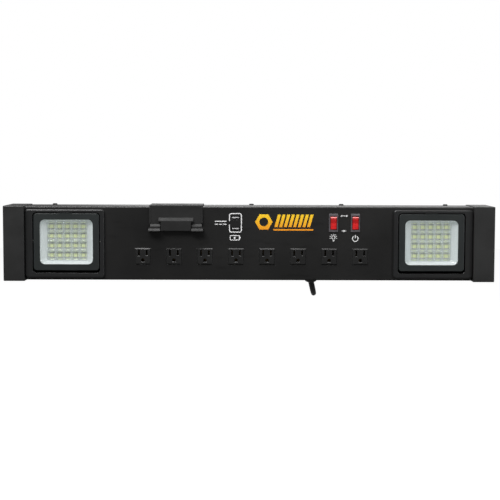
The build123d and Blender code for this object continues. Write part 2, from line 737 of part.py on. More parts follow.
with BuildPart() as slide_plate:
    with BuildSketch(Plane.XZ.offset(-plate_back_y)):
        with Locations((holder_x, (lip_top_z + foot_top_z + moving_gap) / 2)):
            Rectangle(holder_width, lip_top_z - foot_top_z - moving_gap)
        with Locations((holder_x, (plate_bottom_z + foot_top_z + 3.0) / 2)):
            Rectangle(holder_neck_width, foot_top_z + 3.0 - plate_bottom_z)
    extrude(amount=holder_plate)
    with BuildSketch(Plane.XY.offset(lip_bottom_z)):
        with Locations((holder_x, plate_back_y + holder_lip / 2)):
            Rectangle(holder_width, holder_lip)
    extrude(amount=holder_plate)
    top_front = slide_plate.edges().filter_by(Axis.X).group_by(Axis.Z)[-1].sort_by(Axis.Y)[0]
    fillet(top_front, 1.6)
    for end in (-1, 1):
        with BuildSketch(Plane.XZ.offset(-plate_front_y)):
            with Locations(
                (holder_x + end * (holder_width - holder_rib) / 2, (half_height + foot_top_z) / 2)
            ):
                Rectangle(holder_rib, half_height - foot_top_z - 2.0)
        extrude(amount=0.9)
write(slide_plate.part, "holder_slide_plate")

with BuildPart() as grip:
    with BuildSketch(Plane.YZ.offset(holder_x)):
        with BuildLine():
            Polyline(
                (plate_front_y, plate_bottom_z),
                (plate_front_y, plate_bottom_z + 21.2),
                (plate_front_y - 1.0, plate_bottom_z + 21.2),
                (plate_front_y - grip_reach, plate_bottom_z + 16.4),
                (plate_front_y - grip_reach, plate_bottom_z),
                close=True,
            )
        make_face()
    extrude(amount=grip_width / 2, both=True)
    for end in (-1, 1):
        with BuildSketch(Plane.XZ.offset(-plate_front_y)):
            with Locations((holder_x + end * (grip_width + grip_body_width) / 4, plate_bottom_z + 6.0)):
                Rectangle((grip_width - grip_body_width) / 2, 18.0)
        extrude(amount=2 * grip_reach, mode=Mode.SUBTRACT)
write(grip.part, "holder_grip")

with BuildPart() as rods:
    with BuildSketch(Plane.XY.offset(lip_bottom_z)):
        with Locations((holder_x, rod_y)):
            with GridLocations(rod_spacing, 1, 2, 1):
                Circle(rod_radius)
    extrude(amount=-rod_length)
write(rods.part, "holder_rods")

guide_height = 26.0
with BuildPart() as guide:
    with BuildSketch(Plane.XY.offset(half_height - sheet)):
        with Locations((holder_x, rod_y)):
            RectangleRounded(rod_spacing + 14.0, 14.0, 3.0)
            with GridLocations(rod_spacing, 1, 2, 1):
                Circle(rod_radius + pin_gap, mode=Mode.SUBTRACT)
    extrude(amount=-guide_height)
write(guide.part, "holder_guide")

# ---- Electronics on the back cover ----------------------------------------------------
with BuildPart() as led_driver:
    with BuildSketch(Plane.XZ.offset(-inner_rear_y)):
        with Locations((-20.0, -30.0)):
            RectangleRounded(92.0, 38.0, 2.0)
    extrude(amount=24.0)
    fillet(led_driver.faces().sort_by(Axis.Y)[0].edges(), 1.5)
write(led_driver.part, "led_driver")

with BuildPart() as terminal_block:
    with BuildSketch(Plane.XZ.offset(-inner_rear_y)):
        with Locations((70.0, -32.0)):
            Rectangle(34.0, 22.0)
    extrude(amount=16.0)
    with BuildSketch(Plane.XZ.offset(-inner_rear_y + 16.0)):
        with Locations((70.0, -32.0)):
            with GridLocations(11.0, 12.0, 3, 2):
                Circle(2.6)
    extrude(amount=-6.0, mode=Mode.SUBTRACT)
write(terminal_block.part, "terminal_block")

# ---- Cord: bushing, free stretch, hank, tie and plug ----------------------------------
gland_bottom_z = -half_height - gland_drop
gland_bore = cord_diameter / 2 + 0.6
with BuildPart() as gland:
    with BuildSketch(Plane.XZ.offset(-gland_y)):
        with BuildLine():
            Polyline(
                (cord_x, -half_height),
                (cord_x + gland_radius, -half_height),
                (cord_x + gland_radius, -half_height - 0.4 * gland_drop),
                (cord_x + gland_radius - 0.3 * gland_drop, gland_bottom_z + 0.22 * gland_drop),
                (cord_x + gland_radius - 0.75 * gland_drop, gland_bottom_z),
                (cord_x, gland_bottom_z),
                close=True,
            )
        make_face()
    revolve(axis=Axis((cord_x, gland_y, 0), (0, 0, 1)))
    with BuildSketch(Plane.XY.offset(-half_height)):
        with Locations((cord_x, gland_y)):
            Circle(gland_radius - 2.0)
    extrude(amount=14.0, taper=4.0)
    with BuildSketch(Plane.XY.offset(gland_bottom_z)):
        with Locations((cord_x, gland_y)):
            Circle(gland_bore)
    extrude(amount=gland_drop + 14.0, mode=Mode.SUBTRACT)
write(gland.part, "cord_gland")

# The cord slants to the right and backwards out of the bushing, turns up behind the box
# and enters the hank along its lower run.
cord_points = [
    (cord_x - 0.7, gland_y - 2.5, gland_bottom_z + 8.0),
    (107.2, -28.0, -79.0),
    (110.2, -2.5, -91.0),
    (109.5, 25.0, -88.0),
    (105.8, 46.0, -69.5),
    (99.2, 52.0, -45.0),
    (86.0, 47.0, -22.8),
    (66.0, 38.3, -13.2),
    (42.0, 31.2, -10.0),
]


def largest_radii(points):
    path = [Vector(*point) for point in points]
    radii = []
    for before, here, after in zip(path, path[1:], path[2:]):
        turn = (here - before).get_angle(after - here)
        shorter = min((here - before).length, (after - here).length)
        radii.append(round(0.45 * shorter / tan(radians(turn / 2)), 1))
    return radii


cord_radii = largest_radii(cord_points)
print("cord radii", cord_radii)
with BuildPart() as cord:
    with BuildLine() as cord_path:
        FilletPolyline(*cord_points, radius=cord_radii)
    with BuildSketch(Plane(origin=cord_path.line @ 0, z_dir=cord_path.line % 0)):
        Circle(cord_diameter / 2)
    sweep(path=cord_path.line)
write(cord.part, "cord")
cord_length = sum(edge.length for edge in cord_path.edges())
cord_section = pi * cord_diameter**2 / 4
print("cord length", round(cord_length, 1), "volume share", round(cord.part.volume / cord_length / cord_section, 4))

hank_plane = Plane.XZ.offset(-(hank_near_y - cord_diameter / 2))
fold_outside = hank_fold_radius + cord_diameter / 2
waist_outside = hank_waist + cord_diameter / 2 + 0.3
with BuildPart() as hank:
    with BuildSketch(hank_plane):
        with Locations((hank_x - hank_run / 2, hank_z), (hank_x + hank_run / 2, hank_z)):
            Circle(fold_outside)
        with BuildLine():
            Polyline(
                (hank_x - hank_run / 2 + 8.0, hank_z + fold_outside - 1.6),
                (hank_x - tie_width / 2 - 3.0, hank_z + waist_outside),
                (hank_x + tie_width / 2 + 3.0, hank_z + waist_outside),
                (hank_x + hank_run / 2 - 8.0, hank_z + fold_outside - 1.6),
                (hank_x + hank_run / 2 - 8.0, hank_z - fold_outside + 1.6),
                (hank_x + tie_width / 2 + 3.0, hank_z - waist_outside),
                (hank_x - tie_width / 2 - 3.0, hank_z - waist_outside),
                (hank_x - hank_run / 2 + 8.0, hank_z - fold_outside + 1.6),
                close=True,
            )
        make_face()
    extrude(amount=-hank_thickness)
write(hank.part, "cord_hank")

tie_front_y = inner_rear_y - 0.4
tie_back_y = hank_far_y + cord_diameter / 2 + 0.5
with BuildPart() as tie:
    with BuildSketch(Plane.YZ.offset(hank_x - tie_width / 2)):
        with Locations(((tie_front_y + tie_back_y) / 2, hank_z)):
            RectangleRounded(
                tie_back_y - tie_front_y + 2 * tie_thickness, 2 * (tie_half_height + tie_thickness), 1.8
            )
            Rectangle(tie_back_y - tie_front_y, 2 * tie_half_height, mode=Mode.SUBTRACT)
    extrude(amount=tie_width)
write(tie.part, "cord_tie")

tail_points = [
    (hank_x - 58.0, hank_near_y, -14.0),
    (hank_x - 90.0, hank_near_y + 0.6, -21.5),
    (plug_x + plug_neck + 8.0, plug_centre[0] - 1.2, plug_centre[1] - 0.6),
    (plug_x + plug_neck - 10.0, plug_centre[0], plug_centre[1]),
]
tail_radii = largest_radii(tail_points)
print("tail radii", tail_radii)
with BuildPart() as tail:
    with BuildLine() as tail_path:
        FilletPolyline(*tail_points, radius=tail_radii)
    with BuildSketch(Plane(origin=tail_path.line @ 0, z_dir=tail_path.line % 0)):
        Circle(cord_diameter / 2)
    sweep(path=tail_path.line)
write(tail.part, "cord_tail")

with BuildPart() as plug_body:
    with BuildSketch(Plane.YZ.offset(plug_x)):
        with Locations(plug_centre):
            RectangleRounded(*plug_section, 6.0)
    extrude(amount=-plug_length)
    fillet(plug_body.faces().sort_by(Axis.X)[0].edges(), 1.2)
    with BuildSketch(Plane.YZ.offset(plug_x)):
        with Locations(plug_centre):
            RectangleRounded(*plug_section, 6.0)
    with BuildSketch(Plane.YZ.offset(plug_x + plug_neck)):
        with Locations(plug_centre):
            RectangleRounded(cord_diameter + 4.0, cord_diameter + 4.0, cord_diameter / 2)
    loft()
write(plug_body.part, "plug_body")

plug_front_x = plug_x - plug_length
with BuildPart() as plug_contacts:
    with BuildSketch(Plane.YZ.offset(plug_front_x)):
        with Locations(plug_centre):
            with Locations((-4.0, -slot_spacing / 2), (-4.0, slot_spacing / 2)):
                Rectangle(6.35, 1.5)
    extrude(amount=-17.5)
    with BuildSketch(Plane.YZ.offset(plug_front_x)):
        with Locations(plug_centre):
            with Locations((-4.0 + 11.9, 0)):
                Circle(2.4)
    extrude(amount=-20.5)
write(plug_contacts.part, "plug_contacts")
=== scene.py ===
from math import cos, pi, radians, sin

import bpy
from mathutils import Euler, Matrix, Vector


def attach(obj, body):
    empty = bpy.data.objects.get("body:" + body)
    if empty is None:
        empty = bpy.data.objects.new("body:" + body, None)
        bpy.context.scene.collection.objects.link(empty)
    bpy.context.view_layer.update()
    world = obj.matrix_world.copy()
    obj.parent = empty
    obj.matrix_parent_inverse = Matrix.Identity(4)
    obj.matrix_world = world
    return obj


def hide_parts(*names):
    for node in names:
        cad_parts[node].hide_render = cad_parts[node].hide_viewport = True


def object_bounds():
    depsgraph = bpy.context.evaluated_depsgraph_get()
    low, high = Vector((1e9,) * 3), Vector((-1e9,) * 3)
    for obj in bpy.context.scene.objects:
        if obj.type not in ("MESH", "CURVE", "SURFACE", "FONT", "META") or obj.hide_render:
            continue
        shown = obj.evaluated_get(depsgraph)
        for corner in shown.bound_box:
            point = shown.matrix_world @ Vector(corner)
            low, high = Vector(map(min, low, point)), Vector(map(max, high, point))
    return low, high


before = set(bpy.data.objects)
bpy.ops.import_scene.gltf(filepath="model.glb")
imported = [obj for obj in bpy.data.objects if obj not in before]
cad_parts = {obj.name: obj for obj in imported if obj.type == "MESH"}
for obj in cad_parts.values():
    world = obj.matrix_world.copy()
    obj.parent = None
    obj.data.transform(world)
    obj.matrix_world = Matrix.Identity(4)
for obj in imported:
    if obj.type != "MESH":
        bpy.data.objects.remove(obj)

cad_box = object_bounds()
bpy.ops.object.select_all(action="DESELECT")

# The studio: a white room whose wall behind the strip is bright and whose front is dark,
# so that a black front stays black while the top edge shines. The floor is white paper,
# well below, because the strip hangs by its rear bolts.
scene = bpy.context.scene
scene.view_settings.view_transform = "Standard"
world = bpy.data.worlds.new("studio")
scene.world = world
world.use_nodes = True
room = world.node_tree
room.nodes.clear()
around = room.nodes.new("ShaderNodeTexCoord")
split = room.nodes.new("ShaderNodeSeparateXYZ")
wall = room.nodes.new("ShaderNodeMapRange")
wall.inputs["From Min"].default_value = -0.1
wall.inputs["From Max"].default_value = 0.5
wall.inputs["To Min"].default_value = 0.10
wall.inputs["To Max"].default_value = 0.22
glow = room.nodes.new("ShaderNodeBackground")
white = room.nodes.new("ShaderNodeBackground")
for shade in (glow, white):
    shade.inputs["Color"].default_value = (1, 1, 1, 1)
chosen = room.nodes.new("ShaderNodeMixShader")
rays = room.nodes.new("ShaderNodeLightPath")
world_output = room.nodes.new("ShaderNodeOutputWorld")
room.links.new(around.outputs["Generated"], split.inputs[0])
room.links.new(split.outputs["Y"], wall.inputs["Value"])
room.links.new(wall.outputs["Result"], glow.inputs["Strength"])
room.links.new(rays.outputs["Is Camera Ray"], chosen.inputs[0])
room.links.new(glow.outputs[0], chosen.inputs[1])
room.links.new(white.outputs[0], chosen.inputs[2])
room.links.new(chosen.outputs[0], world_output.inputs[0])

floor_drop = 0.45
bpy.ops.mesh.primitive_plane_add(size=14, location=(0, 0, cad_box[0][2] - floor_drop))
floor = bpy.context.object
floor.name = "paper_floor"
paper = bpy.data.materials.new("white_paper")
paper.use_nodes = True
paper_shader = paper.node_tree.nodes["Principled BSDF"]
paper_shader.inputs["Base Color"].default_value = (0.9, 0.9, 0.9, 1)
paper_shader.inputs["Roughness"].default_value = 0.95
paper_shader.inputs["Specular IOR Level"].default_value = 0.0
paper_shader.inputs["Emission Color"].default_value = (1, 1, 1, 1)
paper_shader.inputs["Emission Strength"].default_value = 0.8
floor.data.materials.append(paper)
floor.visible_glossy = False
floor.visible_diffuse = False

softboxes = (
    ("key_softbox", (-0.9, -1.6, 1.9), (1.8, 0.8), 85),
    ("fill_softbox", (1.9, -2.0, 0.6), (0.8, 1.0), 18),
    ("top_softbox", (-0.1, -0.35, 1.3), (2.4, 0.35), 17),
    ("back_softbox", (0.3, 1.8, 0.9), (1.6, 0.8), 8),
)
for name, place, size, power in softboxes:
    bpy.ops.object.light_add(type="AREA", location=place)
    softbox = bpy.context.object
    softbox.name = name
    softbox.data.shape = "RECTANGLE"
    softbox.data.size, softbox.data.size_y = size
    softbox.data.energy = power
    softbox.rotation_euler = (-Vector(place)).to_track_quat("-Z", "Y").to_euler()

# The camera stands 2.1 m in front of the panel at its middle, 0.15 m above mid height,
# and looks down by the angle that keeps the strip in the middle of the picture.
bpy.ops.object.camera_add(location=(0.0017, -2.175, 0.151))
camera = bpy.context.object
camera.name = "camera"
camera.data.sensor_width = 36
camera.data.lens = 92.7
look_down, roll = radians(4.4), radians(0.15)
aim = Euler((pi / 2 - look_down, 0, 0)).to_matrix()
camera.rotation_euler = (aim @ Euler((0, 0, roll)).to_matrix()).to_euler()
scene.camera = camera

# The front cover and the back cover: folded 1.5 mm sheet steel under a black powder coat
# with a fine orange peel, thinner and a little lighter along its folds.
class Value:
    """A socket's value in a material. Maths on it adds Math nodes."""

    def __init__(self, socket):
        self.socket = socket

    def maths(self, operation, *terms):
        node = self.socket.id_data.nodes.new("ShaderNodeMath")
        node.operation = operation
        for entry, term in zip(node.inputs, terms):
            feed(entry, term)
        return Value(node.outputs[0])

    def __add__(self, other):
        return self.maths("ADD", self, other)

    def __radd__(self, other):
        return self.maths("ADD", other, self)

    def __sub__(self, other):
        return self.maths("SUBTRACT", self, other)

    def __rsub__(self, other):
        return self.maths("SUBTRACT", other, self)

    def __mul__(self, other):
        return self.maths("MULTIPLY", self, other)

    def __rmul__(self, other):
        return self.maths("MULTIPLY", other, self)

    def __abs__(self):
        return self.maths("ABSOLUTE", self)


def feed(entry, term):
    """Gives a socket a constant, or links a value to it."""
    if isinstance(term, Value):
        entry.id_data.links.new(term.socket, entry)
    else:
        entry.default_value = term


class Finish:
    """A material of this object. node() makes any node; shade() feeds the surface."""

    def __init__(self, name, **constants):
        self.material = bpy.data.materials.new(name)
        self.material.use_nodes = True
        self.tree = self.material.node_tree
        self.surface = self.tree.nodes["Principled BSDF"]
        self.shade(**constants)
        self.place = self.node("ShaderNodeTexCoord", output="Object")

    def node(self, kind, settings=(), inputs=(), output=0):
        made = self.tree.nodes.new(kind)
        for key, setting in dict(settings).items():
            setattr(made, key, setting)
        for key, term in dict(inputs).items():
            feed(made.inputs[key], term)
        return Value(made.outputs[output])

    def shade(self, **terms):
        for key, term in terms.items():
            feed(self.surface.inputs[key.replace("_", " ")], term)

    def axis(self, letter):
        return self.node("ShaderNodeSeparateXYZ", inputs={0: self.place}, output=letter)

    def noise(self, per_metre, detail=2.0, stretch=None):
        where = self.place
        if stretch:
            where = self.node("ShaderNodeMapping", inputs={"Vector": where, "Scale": stretch})
        inputs = {"Vector": where, "Scale": per_metre, "Detail": detail}
        return self.node("ShaderNodeTexNoise", inputs=inputs)

    def spread(self, value, low, high, from_low=0.3, from_high=0.7):
        ends = {"From Min": from_low, "From Max": from_high, "To Min": low, "To Max": high}
        return self.node("ShaderNodeMapRange", inputs={"Value": value, **ends})

    def mix(self, share, first, second):
        return self.node("ShaderNodeMix", {"data_type": "RGBA"}, {0: share, 6: first, 7: second}, 2)

    def rounded(self, radius):
        """The normal as if each sharp edge were rounded by this radius."""
        return self.node("ShaderNodeBevel", {"samples": 6}, {"Radius": radius})

    def edges(self, radius):
        """1 along the sharp edges, within this radius of them, and 0 elsewhere."""
        flat = self.node("ShaderNodeNewGeometry", output="Normal")
        terms = {0: self.rounded(radius), 1: flat}
        likeness = self.node("ShaderNodeVectorMath", {"operation": "DOT_PRODUCT"}, terms, "Value")
        return self.spread(likeness, 1, 0, 0.85, 0.995)

    def bump(self, height, depth, strength=1.0, edge_radius=0.0):
        inputs = {"Height": height, "Distance": depth, "Strength": strength}
        if edge_radius:
            inputs["Normal"] = self.rounded(edge_radius)
        self.shade(Normal=self.node("ShaderNodeBump", inputs=inputs))

    def coat(self, *names):
        for name in names:
            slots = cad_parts[name].data.materials
            slots.clear()
            slots.append(self.material)


def grey(level, warmth=0.0):
    return (level * (1 + warmth), level, level * (1 - warmth), 1)


powder = Finish("black_powder_coat")
clouds = powder.noise(8, 4.0)
rubbed = powder.spread(powder.noise(35, 5.0, (1, 1, 5)), 0, 0.35, 0.55, 0.75)
folds = powder.edges(0.0012) * powder.spread(powder.noise(150, 3.0), 0.15, 0.9)
coated = powder.mix(powder.spread(clouds, 0, 1), grey(0.0042), grey(0.0066, 0.03))
powder.shade(
    Base_Color=powder.mix(folds * 0.8, coated, grey(0.045)),
    Roughness=powder.spread(clouds, 0.37, 0.45) - rubbed * 0.16,
)
powder.bump(powder.noise(1300, 3.0), 0.00010, 0.5, 0.0006)
powder.coat("front_cover", "back_cover")

# The end caps: black mouldings with a fine spark-eroded texture, slid over the box and
# held by four screws each.
cap = Finish("end_cap_plastic")
moulded = cap.mix(cap.spread(cap.noise(14, 3.0), 0, 1), grey(0.0090), grey(0.0125))
handled = cap.edges(0.0010) * cap.spread(cap.noise(120, 3.0), 0.2, 1.0)
cap.shade(
    Base_Color=cap.mix(handled * 0.7, moulded, grey(0.040)),
    Roughness=cap.spread(cap.noise(30), 0.42, 0.52) - handled * 0.1,
)
cap.bump(cap.noise(2400), 0.0001, 0.6, 0.0005)
cap.coat("left_end_cap", "right_end_cap", "holder_guide", "terminal_block", "usb_module")

# The bare metal: zinc plated plates, pins, rods and bezel screws, blackened cover screws,
# and drawn brass buses, inserts and terminals. The brass is dull near the front.
steel = Finish("zinc_plated_steel", Metallic=1.0)
steel.shade(
    Base_Color=steel.mix(steel.spread(steel.noise(60, 3.0), 0, 1), grey(0.42), grey(0.60)),
    Roughness=steel.spread(steel.noise(400), 0.25, 0.42),
)
steel.coat(
    "left_end_plate", "right_end_plate", "left_lamp_pins", "right_lamp_pins", "holder_rods", "bezel_screws"
)
black_oxide = Finish("black_oxide_screws", Metallic=0.6)
black_oxide.shade(
    Base_Color=black_oxide.mix(black_oxide.spread(black_oxide.noise(500), 0, 1), grey(0.012), grey(0.03)),
    Roughness=black_oxide.spread(black_oxide.noise(900), 0.3, 0.45),
)
black_oxide.coat("cover_screws", "end_cap_screws")
brass = Finish("drawn_brass", Metallic=1.0)
drawn = brass.mix(brass.spread(brass.noise(70, 3.0), 0, 1), (0.40, 0.28, 0.12, 1), (0.62, 0.46, 0.21, 1))
# The brass is darker and rougher towards the front.
darker_near_front = brass.spread(brass.axis("Y"), 1, 0, -0.068, -0.045)
brass.shade(
    Base_Color=brass.mix(darker_near_front, drawn, (0.045, 0.034, 0.020, 1)),
    Roughness=brass.spread(brass.noise(500), 0.2, 0.36) + darker_near_front * 0.2,
)
brass.coat("line_bus", "neutral_bus", "ground_bus", "mount_inserts", "switch_terminals")

# The work lamps: a satin bezel snapped into the panel, and a die cast head that tilts in
# it, with a white reflector tray of twenty cups behind a clear lens.
bezel = Finish("bezel_plastic")
satin = bezel.mix(bezel.spread(bezel.noise(20), 0, 1), grey(0.0095), grey(0.0130, -0.04))
shiny = bezel.edges(0.0008) * bezel.spread(bezel.noise(200, 3.0), 0.3, 1.0)
bezel.shade(
    Base_Color=bezel.mix(shiny * 0.6, satin, grey(0.040)),
    Roughness=bezel.spread(bezel.noise(1500), 0.30, 0.40) - shiny * 0.08,
)
bezel.bump(bezel.noise(2200), 0.00006, 0.5, 0.0004)
bezel.coat("left_lamp_bezel", "right_lamp_bezel")

casting = Finish("lamp_casting")
painted = casting.mix(
    casting.spread(casting.noise(25, 3.0), 0, 1), (0.0098, 0.0125, 0.0125, 1), (0.0140, 0.0172, 0.0172, 1)
)
chipped = casting.edges(0.0007) * casting.spread(casting.noise(350, 4.0), 0, 1, 0.45, 0.7)
casting.shade(
    Base_Color=casting.mix(chipped * 0.7, painted, grey(0.10)),
    Roughness=casting.spread(casting.noise(700), 0.38, 0.5),
)
casting.bump(casting.noise(1100, 4.0), 0.00012, 0.5, 0.0005)
casting.coat("left_lamp_housing", "right_lamp_housing", "left_lamp_back", "right_lamp_back")

tray = Finish("reflector_white")
tray_depth = tray.axis("Y")
# Painted shade: the tray's colour is darker deeper in the cups, towards the back.
painted_depth_shade = tray.spread(tray_depth, 0, 1, -0.0745, -0.0625)
painted_glow_falloff = tray.spread(tray_depth, 0, 1, -0.0745, -0.0640)
tray.shade(
    Base_Color=tray.mix(painted_depth_shade, (0.80, 0.83, 0.84, 1), (0.62, 0.66, 0.66, 1)),
    Roughness=tray.spread(tray.noise(300), 0.14, 0.24),
    Metallic=tray.spread(tray_depth, 0, 0.75, -0.0690, -0.0684),
    Coat_Weight=tray.spread(tray.noise(60), 0.4, 0.7),
    # Painted light: the tray glows, brightly at the front of the cups and dimly deeper in.
    Emission_Color=tray.mix(painted_glow_falloff, (0.85, 0.95, 0.92, 1), (0.30, 0.34, 0.34, 1)),
    Emission_Strength=0.20,
)
tray.bump(tray.noise(700), 0.00005, 0.4)
tray.coat("left_lamp_reflector", "right_lamp_reflector")

board = Finish("led_board")
board.shade(
    Base_Color=board.mix(board.spread(board.noise(400), 0, 1), grey(0.62), grey(0.74)),
    Roughness=board.spread(board.noise(300), 0.3, 0.45),
)
board.coat("left_led_board", "right_led_board")

leds = Finish("led_phosphor", Coat_Weight=1.0, Coat_Roughness=0.05)
grains = leds.noise(900)
pale = leds.spread(grains, 0, 1)
# Painted light: the phosphor glows faintly with a light of its own.
leds.shade(
    Base_Color=leds.mix(pale, (0.52, 0.58, 0.22, 1), (0.74, 0.78, 0.46, 1)),
    Roughness=leds.spread(grains, 0.2, 0.4),
    Emission_Color=leds.mix(pale, (0.60, 0.70, 0.26, 1), (0.82, 0.90, 0.58, 1)),
    Emission_Strength=0.35,
)
leds.coat("left_leds", "right_leds")

lens = Finish("lamp_lens")
clear = lens.node("ShaderNodeBsdfTransparent")
sheen = Value(lens.surface.outputs[0])
edge = lens.node("ShaderNodeLayerWeight", inputs={"Blend": 0.35}, output="Fresnel")
share_of_sheen = lens.spread(edge, 0.05, 0.6, 0.0, 1.0)
glazed = lens.node("ShaderNodeMixShader", inputs={0: share_of_sheen, 1: clear, 2: sheen})
feed(lens.tree.nodes["Material Output"].inputs["Surface"], glazed)
lens.shade(
    Base_Color=lens.mix(lens.spread(lens.noise(40), 0, 1), (0.75, 0.82, 0.82, 1), (0.85, 0.9, 0.9, 1)),
    Roughness=lens.spread(lens.noise(70, 5.0), 0.02, 0.07),
)
lens.coat("left_lamp_lens", "right_lamp_lens")

# The outlets: eight black thermoset bodies, pushed through the panel from inside. They are
# a shade greyer than the powder coat, and polished by plugs along their edges.
thermoset = Finish("outlet_plastic")
pressed = thermoset.mix(thermoset.spread(thermoset.noise(60, 3.0), 0, 1), grey(0.0115), grey(0.0155))
polished = thermoset.edges(0.0007) * thermoset.spread(thermoset.noise(250, 3.0), 0.3, 1.0)
thermoset.shade(
    Base_Color=thermoset.mix(polished * 0.6, pressed, grey(0.050)),
    Roughness=thermoset.spread(thermoset.noise(1000), 0.24, 0.32) - polished * 0.08,
)
thermoset.bump(thermoset.noise(1600), 0.00008, 0.4, 0.0004)
thermoset.coat(*[f"outlet_{n}" for n in range(1, 9)])

# The USB ports: drawn shells plated in dark nickel round white moulded tongues, in one
# black module behind the panel. The plug's blades have the same plating.
nickel = Finish("nickel_shell", Metallic=1.0)
nickel.shade(
    Base_Color=nickel.mix(nickel.spread(nickel.noise(200), 0, 1), grey(0.035), grey(0.06)),
    Roughness=nickel.spread(nickel.noise(700), 0.2, 0.3),
)
nickel.coat("usb_shells", "plug_contacts")
tongue = Finish("usb_tongue")
tongue.shade(
    Base_Color=tongue.mix(tongue.spread(tongue.noise(300), 0, 1), grey(0.50), grey(0.62)),
    Roughness=tongue.spread(tongue.noise(500), 0.3, 0.45),
)
tongue.coat("usb_tongues")

# The rocker switches: dark grey housings set into the panel, and rockers of clear red
# plastic, with painted shade at their sides and a painted highlight at their upper end.
switch_grey = Finish("switch_housing")
flecks = switch_grey.spread(switch_grey.noise(200), 0, 1)
switch_grey.shade(
    Base_Color=switch_grey.mix(flecks, (0.072, 0.066, 0.072, 1), (0.095, 0.087, 0.095, 1)),
    Roughness=switch_grey.spread(switch_grey.noise(900), 0.3, 0.42),
)
switch_grey.coat("light_switch_housing", "power_switch_housing")
red = Finish("rocker_red", Coat_Roughness=0.08, Subsurface_Weight=0.15)
tinted = red.mix(red.spread(red.noise(120), 0, 1), (0.56, 0.010, 0.012, 1), (0.68, 0.022, 0.022, 1))
switches_middle, half_spacing = 0.1559, 0.0179
off_centre = abs(abs(red.axis("X") - switches_middle) - half_spacing)
# Painted shade: the rockers' colour is darker towards their left and right sides.
painted_side_shade = red.spread(off_centre, 0, 1, 0.0039, 0.0043)
# Painted highlight: the rockers' colour is lighter at their upper end.
painted_top_highlight = red.spread(red.axis("Z"), 0, 1, 0.0398, 0.0412)
red_with_painted_highlight = red.mix(painted_top_highlight * 0.5, tinted, (0.86, 0.16, 0.15, 1))
red.shade(
    Base_Color=red.mix(painted_side_shade * 0.7, red_with_painted_highlight, (0.20, 0.002, 0.003, 1)),
    Roughness=red.spread(red.noise(600), 0.22, 0.34),
    Coat_Weight=red.spread(red.noise(80), 0.2, 0.4),
)
red.coat("light_switch_rocker", "power_switch_rocker")

# The phone holder: two fixed feet, and a plate with a grip that slides up on two rods. The
# plastic is black ABS, which turns satin where fingers rub its edges.
holder = Finish("holder_plastic", IOR=1.36)
dull = holder.mix(holder.spread(holder.noise(30, 3.0), 0, 1), grey(0.0105), grey(0.0150))
thumbed = holder.edges(0.0009) * holder.spread(holder.noise(150, 3.0), 0.3, 1.0)
holder.shade(
    Base_Color=holder.mix(thumbed * 0.6, dull, grey(0.045)),
    Roughness=holder.spread(holder.noise(40, 3.0), 0.44, 0.58) - thumbed * 0.1,
)
holder.bump(holder.noise(2200), 0.00008, 0.5, 0.0005)
holder.coat("holder_left_foot", "holder_right_foot", "holder_slide_plate", "holder_grip")

# The driver of the LEDs: a bought supply in an extruded, clear anodised case, fixed inside
# the box against the back cover.
anodised = Finish("driver_case", Metallic=1.0)
anodised.shade(
    Base_Color=anodised.mix(anodised.spread(anodised.noise(90), 0, 1), grey(0.5), grey(0.62)),
    Roughness=anodised.spread(anodised.noise(300, 2.0, (1, 1, 12)), 0.3, 0.42),
)
anodised.coat("led_driver")

# The printing on the front: white and amber ink, screen printed on the powder coat and
# 0.08 mm thick. A nut and a row of bars stands between the ports and the switches, and
# simple signs stand by the ports and the switches.
mm = 0.001
ink_thickness = 0.08 * mm


def arc(x, z, radius, first, last, steps):
    """Points on an arc about (x, z), in millimetres, from one angle to the other."""
    angles = [radians(first + (last - first) * n / steps) for n in range(steps + 1)]
    return [(x + radius * cos(angle), z + radius * sin(angle)) for angle in angles]


def rounded_box(x, z, width, height, radius):
    """The outline of a rectangle about (x, z) with round corners."""
    outline = []
    for corner, (right, up) in enumerate(((1, 1), (-1, 1), (-1, -1), (1, -1))):
        corner_x, corner_z = x + right * (width / 2 - radius), z + up * (height / 2 - radius)
        outline += arc(corner_x, corner_z, radius, 90 * corner, 90 * corner + 90, 5)
    return outline


def stroke(points, width):
    """The outline of a drawn line of this width through the points."""
    left, right = [], []
    for n, point in enumerate(points):
        before, after = Vector(points[max(n - 1, 0)]), Vector(points[min(n + 1, len(points) - 1)])
        across = (after - before).normalized().orthogonal() * width / 2
        left.append(tuple(Vector(point) + across))
        right.append(tuple(Vector(point) - across))
    return left + right[::-1]


def screen_print(name, ink, *outlines):
    drawing = bpy.data.curves.new(name, "CURVE")
    drawing.dimensions = "2D"
    drawing.fill_mode = "BOTH"
    drawing.extrude = ink_thickness / 2
    for outline in outlines:
        edge_line = drawing.splines.new("POLY")
        edge_line.points.add(len(outline) - 1)
        for point, (x, z) in zip(edge_line.points, outline):
            point.co = (x * mm, z * mm, 0, 1)
        edge_line.use_cyclic_u = True
    printed = bpy.data.objects.new(name, drawing)
    scene.collection.objects.link(printed)
    bpy.ops.object.select_all(action="DESELECT")
    printed.select_set(True)
    bpy.context.view_layer.objects.active = printed
    bpy.ops.object.convert(target="MESH")
    printed = bpy.context.object
    printed.rotation_euler = (pi / 2, 0, 0)
    printed.location = (0, -75 * mm - ink_thickness / 2, 0)
    bpy.ops.object.transform_apply(location=True, rotation=True, scale=True)
    printed.data.materials.append(ink.material)
    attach(printed, "housing")
    return printed


